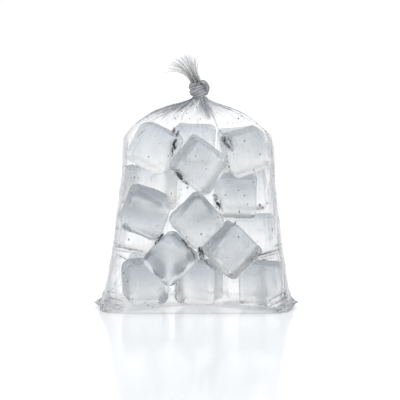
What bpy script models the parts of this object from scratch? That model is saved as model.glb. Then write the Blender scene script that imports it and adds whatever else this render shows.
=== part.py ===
"""A clear plastic bag of ice cubes, knotted at the neck and standing on its base.

Units are metres, +Z is up and the bag's front faces -Y.  The origin is on the floor
under the middle of the bag.  The bag is one skin of film: flat base, two pointed
bottom corners, straight sides, a low tent gathered into the neck, an overhand knot
tied in the film itself, and the loose end fanned out above the knot.
"""

import math

import bpy
import numpy as np
from mathutils import Matrix

MM = 0.001

# Ice cubes, moulded in a tray and softened by melting
CUBE_EDGE = 36.0 * MM
CUBE_DRAFT = 0.03           # the small end is narrower by this share of the edge
CUBE_ROUNDING = 4.6 * MM
CUBE_ROUNDING_STEPS = 2
CUBE_SIZE_SPREAD = 0.02     # each cube is larger or smaller by up to this share
CUBE_SIZE_SEED = 11
CUBE_CLEARANCE = 0.4 * MM   # left between neighbouring cubes

# Film, drawn thicker than the real 0.06 mm so that it is a solid
FILM_WALL = 0.7 * MM
FILM_CLEARANCE = 1.4 * MM   # left between the film and the cubes
CHANNEL_SHARE = 0.2         # how much of the neck's width stays open through the knot
FACETS_AROUND = 48

# Sections of the bag's body from the floor to the neck.  Each row holds the height,
# half width, half depth and sideways shift in millimetres, and the squareness: 2 is
# an ellipse, and larger values are nearer to a rectangle.
BODY_SECTIONS = (
    (0.0, 76.0, 52.0, 0.0, 2.9),
    (1.4, 82.4, 57.7, 0.0, 2.5),
    (4.0, 85.2, 61.2, 0.0, 2.4),
    (9.0, 81.4, 62.3, 0.0, 2.9),
    (16.0, 78.4, 62.6, 0.1, 3.6),
    (30.0, 75.6, 62.6, 0.6, 4.0),
    (47.0, 73.0, 62.3, 1.0, 4.0),
    (64.0, 71.0, 61.9, 1.2, 4.0),
    (96.0, 67.2, 60.5, 1.8, 4.0),
    (125.0, 64.8, 58.7, 2.0, 4.0),
    (141.0, 63.4, 57.0, 2.0, 4.0),
    (148.0, 59.4, 54.7, 1.8, 3.8),
    (156.0, 51.4, 50.8, 1.2, 3.6),
    (163.0, 42.8, 43.9, 0.8, 3.2),
    (168.0, 34.2, 34.6, 0.8, 2.7),
    (171.6, 24.4, 23.5, 1.4, 2.3),
    (174.0, 15.0, 15.0, 2.4, 2.0),
)
TENT_START = 148.0          # above this height the film is gathered in pleats
TENT_PLEATS = 12
TENT_PLEAT_DEPTH = 0.05

# Sections of the neck, the knot and the loose end.  Each row holds the centre's x
# and z, the half width and the half depth in millimetres, and how far the section
# rises to the right, in degrees.  The narrow rows inside the knot are its creases.
KNOT_SECTIONS = (
    (3.4, 176.0, 8.0, 7.4, 4.0),
    (3.6, 177.4, 6.2, 6.0, 9.0),
    (3.2, 179.0, 8.6, 8.2, 14.0),
    (2.8, 181.2, 9.8, 9.2, 18.0),
    (2.4, 183.2, 8.3, 8.0, 19.0),
    (2.0, 185.0, 10.0, 9.2, 20.0),
    (1.4, 187.0, 8.4, 7.8, 20.0),
    (0.8, 188.6, 7.8, 7.0, 20.0),
    (-0.6, 190.6, 4.6, 4.4, 20.0),
)
FAN_SECTIONS = (
    (-2.6, 193.6, 5.4, 4.8, 21.0),
    (-5.4, 197.8, 8.6, 5.6, 22.0),
    (-8.2, 202.2, 12.0, 6.2, 23.0),
    (-10.6, 206.4, 15.0, 6.8, 23.0),
)
FAN_FLUTES = 8
FAN_FLUTE_DEPTH = 0.14
FAN_RIM_WAVES = 5
FAN_RIM_HEIGHT = 2.6        # millimetres that the rim rises and falls
SECTION_SQUARENESS = 2.0

# Where each cube lies: the centre's x, y and z in millimetres, then its turns in
# degrees.  The roll turns it clockwise as seen from the front, the pitch shows more
# of its top, and the yaw turns it on its own upright axis.
CUBE_PLACES = (
    # along the front, from the bottom up
    (-43.5, 1.0, 20.5, 2.0, 8.0, 17.0),
    (3.0, 2.0, 20.5, -3.0, 8.0, -17.0),
    (55.0, -16.0, 20.0, 2.0, 2.0, -5.0),
    (-21.5, -39.0, 44.7, 44.0, 4.0, -6.0),
    (27.0, -37.0, 54.0, -40.0, 12.0, 10.0),
    (-43.5, -24.0, 75.5, 30.0, 5.0, 14.0),
    (-0.5, -40.0, 81.6, -43.0, 5.0, 4.0),
    (32.5, -10.0, 94.0, 4.0, 5.0, 4.0),
    (7.5, -39.0, 123.0, 41.0, 3.0, 8.0),
    (-37.0, -8.0, 139.5, 22.0, 2.0, -10.0),
    (42.5, -10.0, 133.0, -24.0, 4.0, 10.0),
    # behind them, seen between the front ones
    (-39.5, 15.0, 99.0, 2.0, 0.0, 34.0),
    (54.0, 8.0, 58.0, 4.0, 3.0, 6.0),
    (48.0, 28.0, 97.0, -5.0, 3.0, -6.0),
    (3.5, 21.0, 131.5, 3.0, 3.0, -6.0),
    (43.0, 28.0, 20.0, 0.0, 0.0, 12.0),
    (0.0, 41.0, 20.0, 4.0, 0.0, -6.0),
    # at the back
    (-45.0, 39.0, 20.0, -4.0, 0.0, 4.0),
    (-46.0, 24.0, 59.0, 6.0, -4.0, 12.0),
    (4.0, 16.0, 58.0, -10.0, 6.0, 8.0),
    (2.0, 32.0, 94.0, 8.0, -6.0, 10.0),
    (38.0, 33.0, 134.0, -8.0, -6.0, 8.0),
)
# The cubes are nudged from those rough places until they all fit without touching
NUDGE_SEED = 3
NUDGE_TRIES = 12            # nudges tried for each cube in a round
HOLD_ROUNDS = 110           # rounds in which a cube is also drawn back to its place
FREE_ROUNDS = 160           # the most rounds that follow, to clear the last touches
NUDGE_SHIFT = 1.0           # millimetres, the usual size of a first nudge
NUDGE_TURN = 2.6            # degrees, likewise
LAST_NUDGE = 0.1            # the share of those sizes that is left in the last rounds
HOLD_FRONT = 0.012          # how strongly x and z are held, for each millimetre squared
HOLD_DEPTH = 0.0006         # depth, which the front view shows least, is held loosely
HOLD_TURN = 40.0
HOLD_BEHIND = 0.25          # the share of those holds that a cube behind the front ones has
NEIGHBOUR_REACH = 62.0      # millimetres between centres past which two cubes can't touch
MISS_ALLOWED = 0.03         # millimetres of clearance that may be missing at the end
SLOPE_STEP = 0.5            # millimetres to either side that a slope is measured over
PARALLEL = 0.05             # edges whose crossing is shorter than this count as parallel
LEAST = 1.0e-9              # keeps a division from meeting nought

SHARP_ANGLE = 50.0          # degrees past which an edge of the film is shaded sharp

FILM_COLOUR = (0.86, 0.88, 0.90, 1.0)
FILM_ROUGHNESS = 0.12
ICE_COLOUR = (0.80, 0.84, 0.87, 1.0)
ICE_ROUGHNESS = 0.10
ICE_IOR = 1.31
FILM_IOR = 1.51


def clear_scene():
    """Remove every object that the file starts with."""
    for thing in list(bpy.data.objects):
        bpy.data.objects.remove(thing, do_unlink=True)


def make_material(name, colour, roughness, ior):
    """A see-through Principled material."""
    material = bpy.data.materials.new(name)
    material.use_nodes = True
    shader = material.node_tree.nodes["Principled BSDF"]
    shader.inputs["Base Color"].default_value = colour
    shader.inputs["Roughness"].default_value = roughness
    shader.inputs["Metallic"].default_value = 0.0
    shader.inputs["IOR"].default_value = ior
    shader.inputs["Transmission Weight"].default_value = 1.0
    return material


def add_object(name, vertices, faces, material):
    """Make one named object from millimetre vertices and a list of faces."""
    mesh = bpy.data.meshes.new(name)
    mesh.from_pydata([tuple(v * MM for v in vertex) for vertex in vertices], [], faces)
    mesh.update()
    mesh.materials.append(material)
    thing = bpy.data.objects.new(name, mesh)
    bpy.context.scene.collection.objects.link(thing)
    return thing


def signed_power(value, power):
    """Raise the size of a number to a power and keep its sign."""
    return np.sign(value) * np.abs(value) ** power


def section_ring(half_width, half_depth, squareness):
    """Points around one section: x and y of a superellipse, counter-clockwise."""
    angles = np.arange(FACETS_AROUND) * 2.0 * math.pi / FACETS_AROUND
    power = 2.0 / squareness
    across = half_width * signed_power(np.cos(angles), power)
    deep = half_depth * signed_power(np.sin(angles), power)
    return angles, across, deep


def body_ring(height, half_width, half_depth, shift, squareness):
    """One level ring of the bag's body, pleated where the tent gathers."""
    angles, across, deep = section_ring(half_width, half_depth, squareness)
    gather = max(0.0, height - TENT_START) / (BODY_SECTIONS[-1][0] - TENT_START)
    pleat = 1.0 + TENT_PLEAT_DEPTH * gather * np.cos(TENT_PLEATS * angles)
    level = np.full(FACETS_AROUND, height)
    return np.column_stack([shift + across * pleat, deep * pleat, level])


def tilted_ring(centre_x, centre_z, half_width, half_depth, tilt, flutes, rim_rise):
    """One ring of the neck, knot or fan, rising to the right by the tilt."""
    angles, across, deep = section_ring(half_width, half_depth, SECTION_SQUARENESS)
    fluting = 1.0 + flutes * np.cos(FAN_FLUTES * angles)
    across = across * fluting
    deep = deep * fluting
    along = rim_rise * np.cos(FAN_RIM_WAVES * angles)
    slope = math.radians(tilt)
    x = centre_x + across * math.cos(slope) - along * math.sin(slope)
    z = centre_z + across * math.sin(slope) + along * math.cos(slope)
    return np.column_stack([x, deep, z])


def film_rings():
    """Every ring of the film's outer face from the base to the rim of the fan.

    Returns the rings and, for each, how far its inner ring is drawn in to the narrow
    channel through the knot: 0 is a wall of even thickness and 1 is the channel.
    """
    rings = [body_ring(*section) for section in BODY_SECTIONS]
    narrowing = [0.0] * len(rings)
    for section in KNOT_SECTIONS:
        rings.append(tilted_ring(*section, 0.0, 0.0))
        narrowing.append(1.0)
    last = len(FAN_SECTIONS) - 1
    for index, section in enumerate(FAN_SECTIONS):
        flutes = FAN_FLUTE_DEPTH * index / last
        rim_rise = FAN_RIM_HEIGHT if index == last else 0.0
        rings.append(tilted_ring(*section, flutes, rim_rise))
        narrowing.append(0.0)
    return np.array(rings), np.array(narrowing)


def inner_rings(rings, narrowing):
    """The film's inner face: the outer face moved in by the wall, or the channel."""
    upward = np.gradient(rings, axis=0)
    around = np.roll(rings, -1, axis=1) - np.roll(rings, 1, axis=1)
    outward = np.cross(around, upward)
    outward /= np.linalg.norm(outward, axis=2, keepdims=True)
    even_wall = rings - outward * (FILM_WALL / MM)
    even_wall[0] = rings[0] * (1.0, 1.0, 0.0) + (0.0, 0.0, FILM_WALL / MM)
    centres = rings.mean(axis=1, keepdims=True)
    channel = centres + (rings - centres) * CHANNEL_SHARE
    share = narrowing[:, None, None]
    return even_wall * (1.0 - share) + channel * share


def make_bag(material):
    """The bag, its knot and its loose end, as one closed skin of film."""
    outer, narrowing = film_rings()
    inner = inner_rings(outer, narrowing)
    count = len(outer)
    vertices = np.concatenate([outer.reshape(-1, 3), inner.reshape(-1, 3)])
    inner_start = count * FACETS_AROUND
    faces = []
    for row in range(count - 1):
        for step in range(FACETS_AROUND):
            after = (step + 1) % FACETS_AROUND
            low = row * FACETS_AROUND
            high = low + FACETS_AROUND
            faces.append((low + step, low + after, high + after, high + step))
            low += inner_start
            high += inner_start
            faces.append((low + after, low + step, high + step, high + after))
    rim = (count - 1) * FACETS_AROUND
    for step in range(FACETS_AROUND):
        after = (step + 1) % FACETS_AROUND
        faces.append((rim + step, rim + after, inner_start + rim + after, inner_start + rim + step))
    faces.append(tuple(reversed(range(FACETS_AROUND))))
    faces.append(tuple(inner_start + step for step in range(FACETS_AROUND)))
    bag = add_object("bag", vertices, faces, material)
    bag.data.shade_smooth()
    bag.data.set_sharp_from_angle(angle=math.radians(SHARP_ANGLE))
    return bag


def outside_room(points):
    """How far points are outside the cubes' room in the bag, in millimetres.

    The room is the body's sections drawn in by the wall and the clearance.  Its
    fullness is 0 on the axis and 1 at the film, and the distance is what is over 1
    divided by how steeply the fullness rises there.
    """
    table = np.array(BODY_SECTIONS)
    margin = (FILM_WALL + FILM_CLEARANCE) / MM

    def fullness(place):
        height = place[..., 2]
        wide = np.interp(height, table[:, 0], table[:, 1]) - margin
        deep = np.interp(height, table[:, 0], table[:, 2]) - margin
        shift = np.interp(height, table[:, 0], table[:, 3])
        square = np.interp(height, table[:, 0], table[:, 4])
        across = np.abs(place[..., 0] - shift) / wide
        back = np.abs(place[..., 1]) / deep
        return (across ** square + back ** square) ** (1.0 / square)

    rises = [fullness(points + offset) - fullness(points - offset) for offset in np.eye(3) * SLOPE_STEP]
    slope = np.stack(rises, axis=-1) / (2.0 * SLOPE_STEP)
    steepness = np.maximum(np.linalg.norm(slope, axis=-1), LEAST)
    return (fullness(points) - 1.0) / steepness


def turning(axis_angles):
    """Turning matrices from rows of axis times angle, by Rodrigues' formula."""
    angles = np.linalg.norm(axis_angles, axis=1)
    x, y, z = (axis_angles / np.maximum(angles, LEAST)[:, None]).T
    nought = np.zeros_like(x)
    cross = np.array([[nought, -z, y], [z, nought, -x], [-y, x, nought]]).transpose(2, 0, 1)
    sines = np.sin(angles)[:, None, None]
    cosines = np.cos(angles)[:, None, None]
    return np.eye(3) + sines * cross + (1.0 - cosines) * (cross @ cross)


def planned_turns():
    """The turning matrix of each cube: yaw first, then pitch, then roll."""
    angles = np.radians([place[3:] for place in CUBE_PLACES])
    axes = np.eye(3)
    roll, pitch, yaw = (turning(angles[:, i:i + 1] * axes[axis]) for i, axis in enumerate((1, 0, 2)))
    return roll @ pitch @ yaw


def cube_sizes():
    """The edge of each cube in millimetres."""
    spread = np.random.default_rng(CUBE_SIZE_SEED).uniform(-1.0, 1.0, len(CUBE_PLACES))
    return CUBE_EDGE / MM * (1.0 + CUBE_SIZE_SPREAD * spread)


def clear_gaps(centres, turns, cores, other_centres, other_turns, other_cores):
    """The widest clear gap between every tried box and every other box.

    Two boxes are apart if some direction separates them.  The directions tried are
    the faces of both boxes and the crossings of their edges.
    """
    tried, others = len(centres), len(other_centres)
    axes_a = np.broadcast_to(turns.transpose(0, 2, 1)[:, None], (tried, others, 3, 3))
    axes_b = np.broadcast_to(other_turns.transpose(0, 2, 1)[None], (tried, others, 3, 3))
    crossings = np.cross(axes_a[:, :, :, None, :], axes_b[:, :, None, :, :])
    crossings = crossings.reshape(tried, others, -1, 3)
    directions = np.concatenate([axes_a, axes_b, crossings], axis=2)
    lengths = np.linalg.norm(directions, axis=3)
    directions = directions / np.maximum(lengths, PARALLEL)[..., None]
    reach_a = np.abs(directions @ axes_a.swapaxes(2, 3)).sum(axis=3) * cores
    reach_b = np.abs(directions @ axes_b.swapaxes(2, 3)).sum(axis=3) * other_cores[None, :, None]
    between = other_centres[None] - centres[:, None]
    apart = np.abs((directions * between[:, :, None]).sum(axis=3))
    return np.where(lengths > PARALLEL, apart - reach_a - reach_b, -np.inf).max(axis=2)


def misses(centres, turns, index, tried_centres, tried_turns, cores):
    """Missing clearances of one cube at each tried place, in millimetres.

    One column for each near neighbour, then one for each corner against the film and
    against the base.  The cubes count as box cores with round edges about them.
    """
    rounding = CUBE_ROUNDING / MM
    near = np.linalg.norm(centres - centres[index], axis=1) < NEIGHBOUR_REACH
    near[index] = False
    gaps = clear_gaps(tried_centres, tried_turns, cores[index], centres[near], turns[near], cores[near])
    short = 2.0 * rounding + CUBE_CLEARANCE / MM - gaps
    signs = np.array([(x, y, z) for x in (-1, 1) for y in (-1, 1) for z in (-1, 1)]) * cores[index]
    corners = tried_centres[:, None] + signs @ tried_turns.swapaxes(1, 2)
    through_film = outside_room(corners) + rounding
    through_base = (FILM_WALL + FILM_CLEARANCE) / MM + rounding - corners[..., 2]
    return np.maximum(np.concatenate([short, through_film, through_base], axis=1), 0.0)


def settled_cubes(sizes):
    """Nudge the cubes from their rough places until none touch.

    In each round every cube in turn tries a few small random shifts and turns and
    keeps the one with the least missing clearance.  At first its distance from its
    planned place counts too, so that the front view keeps the cubes where they lie.
    """
    chance = np.random.default_rng(NUDGE_SEED)
    planned = np.array([place[:3] for place in CUBE_PLACES])
    planned_turning = planned_turns()
    centres, turns = planned.copy(), planned_turning.copy()
    cores = sizes / 2.0 - CUBE_ROUNDING / MM
    hold = np.array([HOLD_FRONT, HOLD_DEPTH, HOLD_FRONT])
    shares = np.where(planned[:, 1] < 0.0, 1.0, HOLD_BEHIND)
    for nudging in range(HOLD_ROUNDS + FREE_ROUNDS):
        held = nudging < HOLD_ROUNDS
        size = max(1.0 - nudging / HOLD_ROUNDS, LAST_NUDGE)
        worst = 0.0
        for index in chance.permutation(len(centres)):
            shifts = chance.normal(0.0, NUDGE_SHIFT * size, (NUDGE_TRIES, 3))
            spins = chance.normal(0.0, math.radians(NUDGE_TURN) * size, (NUDGE_TRIES, 3))
            shifts[0] = 0.0
            spins[0] = 0.0
            tried_centres = centres[index] + shifts
            tried_turns = turning(spins) @ turns[index]
            missing = misses(centres, turns, index, tried_centres, tried_turns, cores)
            cost = (missing ** 2).sum(axis=1)
            if held:
                strayed = ((tried_centres - planned[index]) ** 2 * hold).sum(axis=1)
                turned = 3.0 - (tried_turns * planned_turning[index]).sum(axis=(1, 2))
                cost += shares[index] * (strayed + HOLD_TURN * turned)
            best = cost.argmin()
            centres[index] = tried_centres[best]
            turns[index] = tried_turns[best]
            worst = max(worst, missing[best].max())
        if not held and worst < MISS_ALLOWED:
            break
    print("cubes settled in", nudging + 1, "rounds, worst miss", round(worst, 3), "mm")
    return centres, turns


def make_cube(name, centre, turn, edge, material):
    """One ice cube: a box with a slight draft and rounded edges."""
    half = edge / 2.0
    small = half * (1.0 - CUBE_DRAFT)
    vertices = []
    for z, reach in ((-half, small), (half, half)):
        vertices += [(-reach, -reach, z), (reach, -reach, z), (reach, reach, z), (-reach, reach, z)]
    faces = [(3, 2, 1, 0), (4, 5, 6, 7), (0, 1, 5, 4), (1, 2, 6, 5), (2, 3, 7, 6), (3, 0, 4, 7)]
    cube = add_object(name, vertices, faces, material)
    placing = Matrix(turn.tolist()).to_4x4()
    placing.translation = (centre * MM).tolist()
    cube.matrix_world = placing
    bevel = cube.modifiers.new("rounded edges", "BEVEL")
    bevel.width = CUBE_ROUNDING
    bevel.segments = CUBE_ROUNDING_STEPS
    bevel.limit_method = "NONE"
    return cube


def main():
    """Build the bag and its cubes."""
    clear_scene()
    film = make_material("polyethylene film", FILM_COLOUR, FILM_ROUGHNESS, FILM_IOR)
    ice = make_material("clear ice", ICE_COLOUR, ICE_ROUGHNESS, ICE_IOR)
    make_bag(film)
    sizes = cube_sizes()
    centres, turns = settled_cubes(sizes)
    for index, centre in enumerate(centres):
        make_cube(f"ice_cube_{index + 1:02d}", centre, turns[index], sizes[index], ice)


main()
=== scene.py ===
# %% [markdown]
# # A bag of ice cubes
#
# A clear plastic bag holds a heap of clear ice cubes.  It stands on its base, its neck
# is gathered and tied in an overhand knot, and the loose end fans out above the knot.
# We dress the plain solids of the model: each cube gets soft melted edges and real ice,
# and the bag becomes a thin film with pleats, creases and drops.

# %% Load the model
import math

import bpy
import numpy as np
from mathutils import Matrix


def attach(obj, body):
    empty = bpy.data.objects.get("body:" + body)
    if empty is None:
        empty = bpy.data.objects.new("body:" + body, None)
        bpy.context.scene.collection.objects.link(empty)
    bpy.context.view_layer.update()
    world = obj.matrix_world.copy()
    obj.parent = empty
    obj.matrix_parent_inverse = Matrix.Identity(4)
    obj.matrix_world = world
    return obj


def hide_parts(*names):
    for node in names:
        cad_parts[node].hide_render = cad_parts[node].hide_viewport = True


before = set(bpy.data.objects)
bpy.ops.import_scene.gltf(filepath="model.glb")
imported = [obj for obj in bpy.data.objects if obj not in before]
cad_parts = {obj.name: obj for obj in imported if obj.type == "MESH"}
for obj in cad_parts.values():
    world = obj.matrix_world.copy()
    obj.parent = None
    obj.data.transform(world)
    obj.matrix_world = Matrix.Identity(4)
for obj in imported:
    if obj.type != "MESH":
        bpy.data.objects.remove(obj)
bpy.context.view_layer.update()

MM = 0.001
IMAGE_SIZE = 400            # pixels, both ways

# %% [markdown]
# ## The helpers
#
# Three helpers keep the rest short.  One turns a colour from a colour picker, which is
# in sRGB, to the linear values that Blender's sockets take.  One adds a shader node
# with its settings and links.  One puts numpy arrays into a mesh in one go, which is
# far quicker than adding vertices one at a time.

# %% Colours
def linear(code, alpha=1.0):
    """An sRGB hex colour such as "#cdd3d7" as a linear RGBA tuple."""
    channels = np.array([int(code[i:i + 2], 16) for i in (1, 3, 5)]) / 255.0
    low, high = channels / 12.92, ((channels + 0.055) / 1.055) ** 2.4
    return (*np.where(channels <= 0.04045, low, high).tolist(), alpha)


print("mid grey in linear light:", [round(v, 3) for v in linear("#808080")[:3]])


# %% Nodes
def add_node(tree, kind, settings=(), **inputs):
    """Add a node.  Settings are attributes, and inputs are values or output sockets."""
    node = tree.nodes.new(kind)
    for name, value in dict(settings).items():
        setattr(node, name, value)
    for name, value in inputs.items():
        key = int(name[1:]) if name[1:].isdigit() else name.replace("_", " ")
        if isinstance(value, bpy.types.NodeSocket):
            tree.links.new(value, node.inputs[key])
        else:
            node.inputs[key].default_value = value
    return node


def new_material(name):
    """An empty node material and its output node."""
    material = bpy.data.materials.new(name)
    material.use_nodes = True
    material.node_tree.nodes.clear()
    return material, material.node_tree, add_node(material.node_tree, "ShaderNodeOutputMaterial")


# %% Meshes
def make_piece(name, points, quads, material):
    """A smooth mesh from metre points (n, 3) and quads (m, 4).

    Where a quad's last two corners are the same it is made a triangle.
    """
    mesh = bpy.data.meshes.new(name)
    corners = np.where(quads[:, 3] == quads[:, 2], 3, 4)
    used = np.arange(4)[None, :] < corners[:, None]
    mesh.vertices.add(len(points))
    mesh.vertices.foreach_set("co", np.asarray(points, np.float32).ravel())
    mesh.loops.add(int(corners.sum()))
    mesh.loops.foreach_set("vertex_index", quads[used].astype(np.int32))
    mesh.polygons.add(len(quads))
    mesh.polygons.foreach_set("loop_start", (np.cumsum(corners) - corners).astype(np.int32))
    mesh.update(calc_edges=True)
    mesh.validate()
    mesh.shade_smooth()
    mesh.materials.append(material)
    piece = bpy.data.objects.new(name, mesh)
    bpy.context.scene.collection.objects.link(piece)
    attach(piece, "root")
    return piece


def grid_quads(rows, columns, closed):
    """Quads of a grid of points, row after row.

    A closed grid joins its last column to its first.
    """
    across = columns if closed else columns - 1
    row, column = np.meshgrid(np.arange(rows - 1), np.arange(across), indexing="ij")
    after = (column + 1) % columns
    low, high = row * columns, (row + 1) * columns
    return np.stack([low + column, low + after, high + after, high + column], axis=-1).reshape(-1, 4)


print("a closed grid of 3 by 8 has", len(grid_quads(3, 8, True)), "quads")

# %% [markdown]
# ## Camera
#
# The photograph looks at the bag from the front and a little from above, so the camera
# stands far off with a long lens.  The aim is the point at the middle of the frame.

# %% Camera
VIEW_ELEVATION = math.radians(6.0)
VIEW_DISTANCE = 2.0
VIEW_AIM = np.array([3.4, 0.0, 89.7]) * MM
FRAME_WIDTH = IMAGE_SIZE * 0.85 * MM     # one pixel is 0.85 mm on the bag

camera = bpy.data.objects.new("camera", bpy.data.cameras.new("camera"))
bpy.context.scene.collection.objects.link(camera)
backward = np.array([0.0, -math.cos(VIEW_ELEVATION), math.sin(VIEW_ELEVATION)])
camera.location = VIEW_AIM + backward * VIEW_DISTANCE
camera.rotation_euler = (math.pi / 2 - VIEW_ELEVATION, 0.0, 0.0)
camera.data.lens = camera.data.sensor_width * VIEW_DISTANCE / FRAME_WIDTH
camera.data.clip_start, camera.data.clip_end = 0.05, 20.0
bpy.context.scene.camera = camera
print("lens:", round(camera.data.lens), "mm")

# %% [markdown]
# ## Light and floor
#
# Clear ice has hardly any colour of its own.  What we see is the room, bent by the ice:
# a wholly white room would leave it white, and a ceiling that is a little greyer gives
# its pale grey.  So the light is white all round the horizon and turns grey higher up,
# the same on every side.  The floor is a white opal sheet lit from below, as on a
# product photographer's table.

# %% World
world = bpy.data.worlds.new("white studio")
bpy.context.scene.world = world
world.use_nodes = True
tree = world.node_tree
tree.nodes.clear()
direction = add_node(tree, "ShaderNodeTexCoord")
upward = add_node(tree, "ShaderNodeSeparateXYZ", Vector=direction.outputs["Generated"])
ceiling = add_node(tree, "ShaderNodeValToRGB", Fac=upward.outputs["Z"])
CEILING_STOPS = ((0.0, "#ffffff"), (0.28, "#ffffff"), (0.50, "#eceef0"), (0.70, "#dcdfe2"),
                 (0.85, "#dcdfe2"), (1.0, "#e2e5e7"))
ramp = ceiling.color_ramp
while len(ramp.elements) < len(CEILING_STOPS):
    ramp.elements.new(0.5)
for element, (place, code) in zip(ramp.elements, CEILING_STOPS):
    element.position = place
    element.color = linear(code)
sky = add_node(tree, "ShaderNodeBackground", Color=ceiling.outputs["Color"], Strength=1.02)
add_node(tree, "ShaderNodeOutputWorld", Surface=sky.outputs["Background"])
print("ceiling from", CEILING_STOPS[0][1], "at the horizon to", CEILING_STOPS[-1][1], "overhead")

# %% Floor
floor_finish, tree, output = new_material("opal acrylic sheet, lit from below")
sheet = add_node(tree, "ShaderNodeBsdfPrincipled", **{
    "Base Color": linear("#e2e4e6"), "Roughness": 0.12, "IOR": 1.49,
    "Emission Color": linear("#ffffff"), "Emission Strength": 0.345})
tree.links.new(sheet.outputs["BSDF"], output.inputs["Surface"])
FLOOR_REACH = 6.0
FLOOR_LEVEL = -0.3 * MM
corners = np.array([(-1, -1, 0), (1, -1, 0), (1, 1, 0), (-1, 1, 0)]) * FLOOR_REACH
mesh = bpy.data.meshes.new("floor")
mesh.from_pydata((corners + (0, 0, FLOOR_LEVEL)).tolist(), [], [(0, 1, 2, 3)])
mesh.materials.append(floor_finish)
floor = bpy.data.objects.new("floor", mesh)
bpy.context.scene.collection.objects.link(floor)
print("floor at", round(FLOOR_LEVEL / MM, 2), "mm")

# %% Picture settings
scene = bpy.context.scene
scene.view_settings.view_transform = "Standard"
scene.view_settings.look = "None"
scene.cycles.max_bounces = 28
scene.cycles.transmission_bounces = 26
scene.cycles.glossy_bounces = 10
scene.cycles.diffuse_bounces = 4
scene.cycles.transparent_max_bounces = 40
scene.cycles.use_denoising = True
print("light path:", scene.cycles.max_bounces, "bounces")

# %% [markdown]
# ## Clear ice
#
# Slowly frozen ice is clear, and light bends in it a little less than in water: its IOR
# is 1.31.  Its thick places are darker, which a volume that absorbs gives.  Melting
# leaves the flat of a face dull and rippled and the rounded edges wet and glossy, so the
# roughness follows an attribute that says where the edges are.  A cube freezes from
# outside and its large crystals aren't all as clear, so a faint cool tint follows wide soft
# cells and each cube's own clearness.  A second attribute also holds painted light, which
# makes each cube paler from its top to its foot.

# %% Ice material
ice, tree, output = new_material("clear ice, wet and melting")
place = add_node(tree, "ShaderNodeTexCoord").outputs["Object"]
DULL_PATCH = 9 * MM         # width of the duller patches on a face
FACE_DULLNESS = (0.34, 0.52)
EDGE_DULLNESS = 0.07
RIPPLE = 7.0 * MM           # width of the ripples that melting leaves
RIPPLE_DEPTH = 0.8 * MM
patches = add_node(tree, "ShaderNodeTexNoise", Vector=place, Scale=1 / DULL_PATCH, Detail=2.0)
dullness = add_node(tree, "ShaderNodeMapRange", _0=patches.outputs["Fac"], _1=0.35, _2=0.70,
                    _3=FACE_DULLNESS[0], _4=FACE_DULLNESS[1])
edges = add_node(tree, "ShaderNodeAttribute", {"attribute_name": "edge"})
wetness = add_node(tree, "ShaderNodeMix", {"data_type": "FLOAT"}, _0=edges.outputs["Fac"],
                   _2=dullness.outputs["Result"], _3=EDGE_DULLNESS)
ripples = add_node(tree, "ShaderNodeTexNoise", Vector=place, Scale=1 / RIPPLE, Detail=3.0)
bump = add_node(tree, "ShaderNodeBump", Strength=0.5, Distance=RIPPLE_DEPTH, Height=ripples.outputs["Fac"])

# %% The ice's tint, and painted light at each cube's foot
CRYSTAL = 17 * MM           # width of the large crystals
CRYSTAL_SHIFT = 0.22        # how much clearer or cloudier than the mean one of them may be
# the attribute `low`: painted light, paler towards each cube's foot, plus each cube's own clearness
painted_foot_light_and_clearness = add_node(tree, "ShaderNodeAttribute", {"attribute_name": "low"})
crystals = add_node(tree, "ShaderNodeTexVoronoi", {"feature": "SMOOTH_F1"}, Vector=place,
                    Scale=1 / CRYSTAL, Smoothness=0.35)
shift = add_node(tree, "ShaderNodeMapRange", _0=crystals.outputs["Color"], _1=0.0, _2=1.0,
                 _3=-CRYSTAL_SHIFT, _4=CRYSTAL_SHIFT)
clearness = add_node(tree, "ShaderNodeMath", {"operation": "ADD", "use_clamp": True},
                     _0=painted_foot_light_and_clearness.outputs["Fac"], _1=shift.outputs["Result"])
tint_and_painted_foot_light = add_node(tree, "ShaderNodeMix", {"data_type": "RGBA"}, _0=clearness.outputs["Value"],
                _6=linear("#d3d8dc"), _7=linear("#ffffff"))
body = add_node(tree, "ShaderNodeBsdfPrincipled", **{
    "Base Color": tint_and_painted_foot_light.outputs[2], "Roughness": wetness.outputs["Result"], "IOR": 1.31,
    "Transmission Weight": 1.0, "Normal": bump.outputs["Normal"]})
depth = add_node(tree, "ShaderNodeVolumeAbsorption", Color=linear("#e9ebeb"), Density=5.0)
tree.links.new(body.outputs["BSDF"], output.inputs["Surface"])
tree.links.new(depth.outputs["Volume"], output.inputs["Volume"])
print("ice is made of", len(tree.nodes), "nodes")

# %% [markdown]
# ## Ice cubes
#
# A cube from a tray is a box that melting has rounded.  A Bevel modifier would round
# it evenly, so here the surface is worked out instead: a grid on each of the six faces
# is pushed to a rounded box, and slow waves swell and hollow it as melting does.  Each
# cube takes its place and its turn from the solid that it stands for.

# %% Where each cube lies
def cube_frame(mesh):
    """Centre, axes and half sizes of a cube's solid.

    The first axis is the normal of the largest triangle, and the second the normal of
    the largest one that is square to it.
    """
    triangles = np.zeros(len(mesh.loops), np.int32)
    mesh.loops.foreach_get("vertex_index", triangles)
    points = np.zeros(len(mesh.vertices) * 3)
    mesh.vertices.foreach_get("co", points)
    points = points.reshape(-1, 3)
    a, b, c = points[triangles.reshape(-1, 3)].transpose(1, 0, 2)
    normals = np.cross(b - a, c - a)
    areas = np.linalg.norm(normals, axis=1)
    normals /= areas[:, None]
    first = normals[areas.argmax()]
    square = np.abs(normals @ first) < 0.2
    second = normals[np.where(square, areas, 0.0).argmax()]
    second = second - first * (second @ first)
    second /= np.linalg.norm(second)
    axes = np.stack([first, second, np.cross(first, second)])
    along = points @ axes.T
    low, high = along.min(axis=0), along.max(axis=0)
    return axes.T @ ((low + high) / 2), axes, (high - low) / 2


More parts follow.
